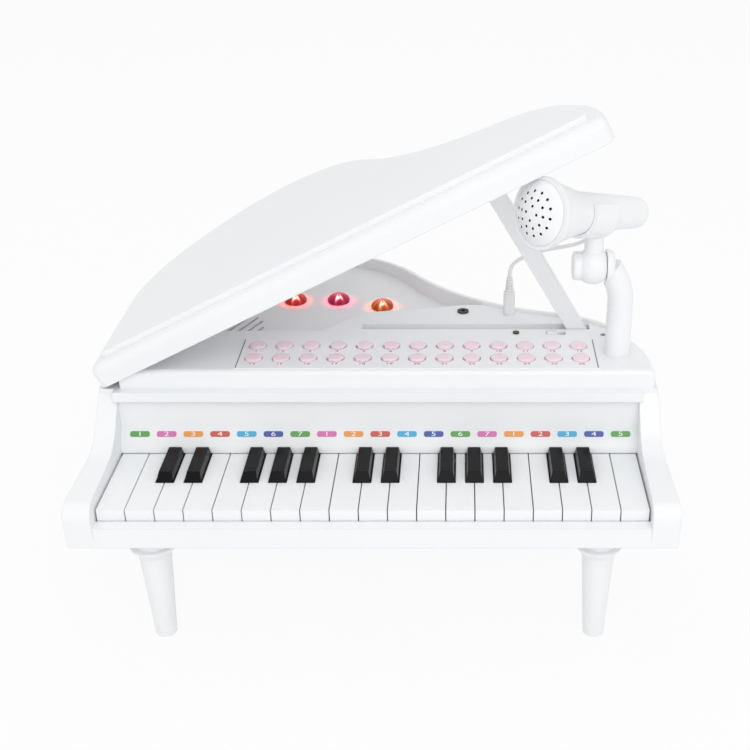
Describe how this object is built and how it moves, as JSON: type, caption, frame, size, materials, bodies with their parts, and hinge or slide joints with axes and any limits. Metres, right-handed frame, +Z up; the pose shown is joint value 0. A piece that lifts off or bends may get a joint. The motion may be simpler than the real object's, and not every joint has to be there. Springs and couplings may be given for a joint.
{
  "type": "toy grand piano",
  "caption": "Toy grand piano on turned legs with sprung keys, a propped lid, push buttons, jewel lamps and a corded microphone on a tilting stand.",
  "frame": {"origin": "on the floor under the middle of the piano", "axes": "+X to the player's right, +Y away from the player, +Z up"},
  "size_m": [0.423, 0.3312, 0.3703],
  "materials": {
    "white_shell": "glossy moulded plastic",
    "white_key": "glossy moulded plastic",
    "black_key": "glossy moulded plastic",
    "pink_button": "translucent moulded plastic",
    "label_film": "printed film",
    "lamp_lens": "faceted clear plastic",
    "light": "moulded light",
    "socket": "moulded plastic",
    "steel": "bright steel",
    "rubber": "silicone rubber",
    "circuit_board": "lacquered board",
    "speaker": "painted frame",
    "cord": "soft plastic sheath"
  },
  "bodies": {
    "piano": {"upper_case": "white_shell", "bottom_cover": "white_shell", "battery_cover": "white_shell", "case_screws": "steel", "leg_front_left": "white_shell", "leg_front_right": "white_shell", "leg_rear": "white_shell", "button_label": "label_film", "jack_sockets": "socket", "lamp_lenses": "lamp_lens", "lights": "light", "key_pivot_rod": "steel", "key_contact_strip": "rubber", "main_board": "circuit_board", "speaker": "speaker", "mic_stand": "white_shell", "mic_plug": "white_shell", "mic_cord": "cord"},
    "lid": {"lid": "white_shell", "lid_hinge_pins": "steel"},
    "prop": {"lid_prop": "white_shell"},
    "microphone": {"mic_grille": "white_shell", "mic_handle": "white_shell", "mic_clip": "white_shell"},
    "power_switch": {"power_switch_knob": "white_shell"},
    "buttons_round_left": {"buttons_round_left": "pink_button"},
    "buttons_flower": {"buttons_flower": "pink_button"},
    "buttons_octagon": {"buttons_octagon": "pink_button"},
    "buttons_round_right": {"buttons_round_right": "pink_button"},
    "white_key_b0": {"white_key_b0": "white_key"},
    "white_key_c1": {"white_key_c1": "white_key"},
    "white_key_d1": {"white_key_d1": "white_key"},
    "white_key_e1": {"white_key_e1": "white_key"},
    "white_key_f1": {"white_key_f1": "white_key"},
    "white_key_g1": {"white_key_g1": "white_key"},
    "white_key_a1": {"white_key_a1": "white_key"},
    "white_key_b1": {"white_key_b1": "white_key"},
    "white_key_c2": {"white_key_c2": "white_key"},
    "white_key_d2": {"white_key_d2": "white_key"},
    "white_key_e2": {"white_key_e2": "white_key"},
    "white_key_f2": {"white_key_f2": "white_key"},
    "white_key_g2": {"white_key_g2": "white_key"},
    "white_key_a2": {"white_key_a2": "white_key"},
    "white_key_b2": {"white_key_b2": "white_key"},
    "white_key_c3": {"white_key_c3": "white_key"},
    "white_key_d3": {"white_key_d3": "white_key"},
    "white_key_e3": {"white_key_e3": "white_key"},
    "white_key_f3": {"white_key_f3": "white_key"},
    "black_key_01": {"black_key_01": "black_key"},
    "black_key_02": {"black_key_02": "black_key"},
    "black_key_03": {"black_key_03": "black_key"},
    "black_key_04": {"black_key_04": "black_key"},
    "black_key_05": {"black_key_05": "black_key"},
    "black_key_06": {"black_key_06": "black_key"},
    "black_key_07": {"black_key_07": "black_key"},
    "black_key_08": {"black_key_08": "black_key"},
    "black_key_09": {"black_key_09": "black_key"},
    "black_key_10": {"black_key_10": "black_key"},
    "black_key_11": {"black_key_11": "black_key"},
    "black_key_12": {"black_key_12": "black_key"}
  },
  "joints": [
    {"name": "lid_hinge", "type": "hinge", "parent": "piano", "child": "lid", "pos_m": [-0.2025, 0, 0.1744], "axis": [0, -1, 0], "range_deg": [0, 35]},
    {"name": "prop_fold", "type": "hinge", "parent": "piano", "child": "prop", "pos_m": [0.1547, 0.01, 0.177], "axis": [0, -1, 0], "range_deg": [0, 59.5]},
    {"name": "mic_tilt", "type": "hinge", "parent": "piano", "child": "microphone", "pos_m": [0.15688, -0.037, 0.25367], "axis": [1, 0, 0], "range_deg": [-3, 30], "deforming": ["mic_cord"]},
    {"name": "power_switch_slide", "type": "slide", "parent": "piano", "child": "power_switch", "axis": [1, 0, 0], "range_m": [0, 0.006]},
    {"name": "buttons_round_left_press", "type": "slide", "parent": "piano", "child": "buttons_round_left", "axis": [0, 0, -1], "range_m": [0, 0.0012], "stiffness_N_per_m": 400, "springref_m": -0.0006},
    {"name": "buttons_flower_press", "type": "slide", "parent": "piano", "child": "buttons_flower", "axis": [0, 0, -1], "range_m": [0, 0.0012], "stiffness_N_per_m": 400, "springref_m": -0.0006},
    {"name": "buttons_octagon_press", "type": "slide", "parent": "piano", "child": "buttons_octagon", "axis": [0, 0, -1], "range_m": [0, 0.0012], "stiffness_N_per_m": 400, "springref_m": -0.0006},
    {"name": "buttons_round_right_press", "type": "slide", "parent": "piano", "child": "buttons_round_right", "axis": [0, 0, -1], "range_m": [0, 0.0012], "stiffness_N_per_m": 400, "springref_m": -0.0006},
    {"name": "white_key_b0_press", "type": "hinge", "parent": "piano", "child": "white_key_b0", "pos_m": [0, -0.038, 0.115], "axis": [1, 0, 0], "range_deg": [0, 3], "stiffness_Nm_per_rad": 0.5, "springref_deg": -3.44},
    {"name": "white_key_c1_press", "type": "hinge", "parent": "piano", "child": "white_key_c1", "pos_m": [0, -0.038, 0.115], "axis": [1, 0, 0], "range_deg": [0, 3], "stiffness_Nm_per_rad": 0.5, "springref_deg": -3.44},
    {"name": "white_key_d1_press", "type": "hinge", "parent": "piano", "child": "white_key_d1", "pos_m": [0, -0.038, 0.115], "axis": [1, 0, 0], "range_deg": [0, 3], "stiffness_Nm_per_rad": 0.5, "springref_deg": -3.44},
    {"name": "white_key_e1_press", "type": "hinge", "parent": "piano", "child": "white_key_e1", "pos_m": [0, -0.038, 0.115], "axis": [1, 0, 0], "range_deg": [0, 3], "stiffness_Nm_per_rad": 0.5, "springref_deg": -3.44},
    {"name": "white_key_f1_press", "type": "hinge", "parent": "piano", "child": "white_key_f1", "pos_m": [0, -0.038, 0.115], "axis": [1, 0, 0], "range_deg": [0, 3], "stiffness_Nm_per_rad": 0.5, "springref_deg": -3.44},
    {"name": "white_key_g1_press", "type": "hinge", "parent": "piano", "child": "white_key_g1", "pos_m": [0, -0.038, 0.115], "axis": [1, 0, 0], "range_deg": [0, 3], "stiffness_Nm_per_rad": 0.5, "springref_deg": -3.44},
    {"name": "white_key_a1_press", "type": "hinge", "parent": "piano", "child": "white_key_a1", "pos_m": [0, -0.038, 0.115], "axis": [1, 0, 0], "range_deg": [0, 3], "stiffness_Nm_per_rad": 0.5, "springref_deg": -3.44},
    {"name": "white_key_b1_press", "type": "hinge", "parent": "piano", "child": "white_key_b1", "pos_m": [0, -0.038, 0.115], "axis": [1, 0, 0], "range_deg": [0, 3], "stiffness_Nm_per_rad": 0.5, "springref_deg": -3.44},
    {"name": "white_key_c2_press", "type": "hinge", "parent": "piano", "child": "white_key_c2", "pos_m": [0, -0.038, 0.115], "axis": [1, 0, 0], "range_deg": [0, 3], "stiffness_Nm_per_rad": 0.5, "springref_deg": -3.44},
    {"name": "white_key_d2_press", "type": "hinge", "parent": "piano", "child": "white_key_d2", "pos_m": [0, -0.038, 0.115], "axis": [1, 0, 0], "range_deg": [0, 3], "stiffness_Nm_per_rad": 0.5, "springref_deg": -3.44},
    {"name": "white_key_e2_press", "type": "hinge", "parent": "piano", "child": "white_key_e2", "pos_m": [0, -0.038, 0.115], "axis": [1, 0, 0], "range_deg": [0, 3], "stiffness_Nm_per_rad": 0.5, "springref_deg": -3.44},
    {"name": "white_key_f2_press", "type": "hinge", "parent": "piano", "child": "white_key_f2", "pos_m": [0, -0.038, 0.115], "axis": [1, 0, 0], "range_deg": [0, 3], "stiffness_Nm_per_rad": 0.5, "springref_deg": -3.44},
    {"name": "white_key_g2_press", "type": "hinge", "parent": "piano", "child": "white_key_g2", "pos_m": [0, -0.038, 0.115], "axis": [1, 0, 0], "range_deg": [0, 3], "stiffness_Nm_per_rad": 0.5, "springref_deg": -3.44},
    {"name": "white_key_a2_press", "type": "hinge", "parent": "piano", "child": "white_key_a2", "pos_m": [0, -0.038, 0.115], "axis": [1, 0, 0], "range_deg": [0, 3], "stiffness_Nm_per_rad": 0.5, "springref_deg": -3.44},
    {"name": "white_key_b2_press", "type": "hinge", "parent": "piano", "child": "white_key_b2", "pos_m": [0, -0.038, 0.115], "axis": [1, 0, 0], "range_deg": [0, 3], "stiffness_Nm_per_rad": 0.5, "springref_deg": -3.44},
    {"name": "white_key_c3_press", "type": "hinge", "parent": "piano", "child": "white_key_c3", "pos_m": [0, -0.038, 0.115], "axis": [1, 0, 0], "range_deg": [0, 3], "stiffness_Nm_per_rad": 0.5, "springref_deg": -3.44},
    {"name": "white_key_d3_press", "type": "hinge", "parent": "piano", "child": "white_key_d3", "pos_m": [0, -0.038, 0.115], "axis": [1, 0, 0], "range_deg": [0, 3], "stiffness_Nm_per_rad": 0.5, "springref_deg": -3.44},
    {"name": "white_key_e3_press", "type": "hinge", "parent": "piano", "child": "white_key_e3", "pos_m": [0, -0.038, 0.115], "axis": [1, 0, 0], "range_deg": [0, 3], "stiffness_Nm_per_rad": 0.5, "springref_deg": -3.44},
    {"name": "white_key_f3_press", "type": "hinge", "parent": "piano", "child": "white_key_f3", "pos_m": [0, -0.038, 0.115], "axis": [1, 0, 0], "range_deg": [0, 3], "stiffness_Nm_per_rad": 0.5, "springref_deg": -3.44},
    {"name": "black_key_01_press", "type": "hinge", "parent": "piano", "child": "black_key_01", "pos_m": [0, -0.038, 0.115], "axis": [1, 0, 0], "range_deg": [0, 3], "stiffness_Nm_per_rad": 0.5, "springref_deg": -3.44},
    {"name": "black_key_02_press", "type": "hinge", "parent": "piano", "child": "black_key_02", "pos_m": [0, -0.038, 0.115], "axis": [1, 0, 0], "range_deg": [0, 3], "stiffness_Nm_per_rad": 0.5, "springref_deg": -3.44},
    {"name": "black_key_03_press", "type": "hinge", "parent": "piano", "child": "black_key_03", "pos_m": [0, -0.038, 0.115], "axis": [1, 0, 0], "range_deg": [0, 3], "stiffness_Nm_per_rad": 0.5, "springref_deg": -3.44},
    {"name": "black_key_04_press", "type": "hinge", "parent": "piano", "child": "black_key_04", "pos_m": [0, -0.038, 0.115], "axis": [1, 0, 0], "range_deg": [0, 3], "stiffness_Nm_per_rad": 0.5, "springref_deg": -3.44},
    {"name": "black_key_05_press", "type": "hinge", "parent": "piano", "child": "black_key_05", "pos_m": [0, -0.038, 0.115], "axis": [1, 0, 0], "range_deg": [0, 3], "stiffness_Nm_per_rad": 0.5, "springref_deg": -3.44},
    {"name": "black_key_06_press", "type": "hinge", "parent": "piano", "child": "black_key_06", "pos_m": [0, -0.038, 0.115], "axis": [1, 0, 0], "range_deg": [0, 3], "stiffness_Nm_per_rad": 0.5, "springref_deg": -3.44},
    {"name": "black_key_07_press", "type": "hinge", "parent": "piano", "child": "black_key_07", "pos_m": [0, -0.038, 0.115], "axis": [1, 0, 0], "range_deg": [0, 3], "stiffness_Nm_per_rad": 0.5, "springref_deg": -3.44},
    {"name": "black_key_08_press", "type": "hinge", "parent": "piano", "child": "black_key_08", "pos_m": [0, -0.038, 0.115], "axis": [1, 0, 0], "range_deg": [0, 3], "stiffness_Nm_per_rad": 0.5, "springref_deg": -3.44},
    {"name": "black_key_09_press", "type": "hinge", "parent": "piano", "child": "black_key_09", "pos_m": [0, -0.038, 0.115], "axis": [1, 0, 0], "range_deg": [0, 3], "stiffness_Nm_per_rad": 0.5, "springref_deg": -3.44},
    {"name": "black_key_10_press", "type": "hinge", "parent": "piano", "child": "black_key_10", "pos_m": [0, -0.038, 0.115], "axis": [1, 0, 0], "range_deg": [0, 3], "stiffness_Nm_per_rad": 0.5, "springref_deg": -3.44},
    {"name": "black_key_11_press", "type": "hinge", "parent": "piano", "child": "black_key_11", "pos_m": [0, -0.038, 0.115], "axis": [1, 0, 0], "range_deg": [0, 3], "stiffness_Nm_per_rad": 0.5, "springref_deg": -3.44},
    {"name": "black_key_12_press", "type": "hinge", "parent": "piano", "child": "black_key_12", "pos_m": [0, -0.038, 0.115], "axis": [1, 0, 0], "range_deg": [0, 3], "stiffness_Nm_per_rad": 0.5, "springref_deg": -3.44}
  ]
}
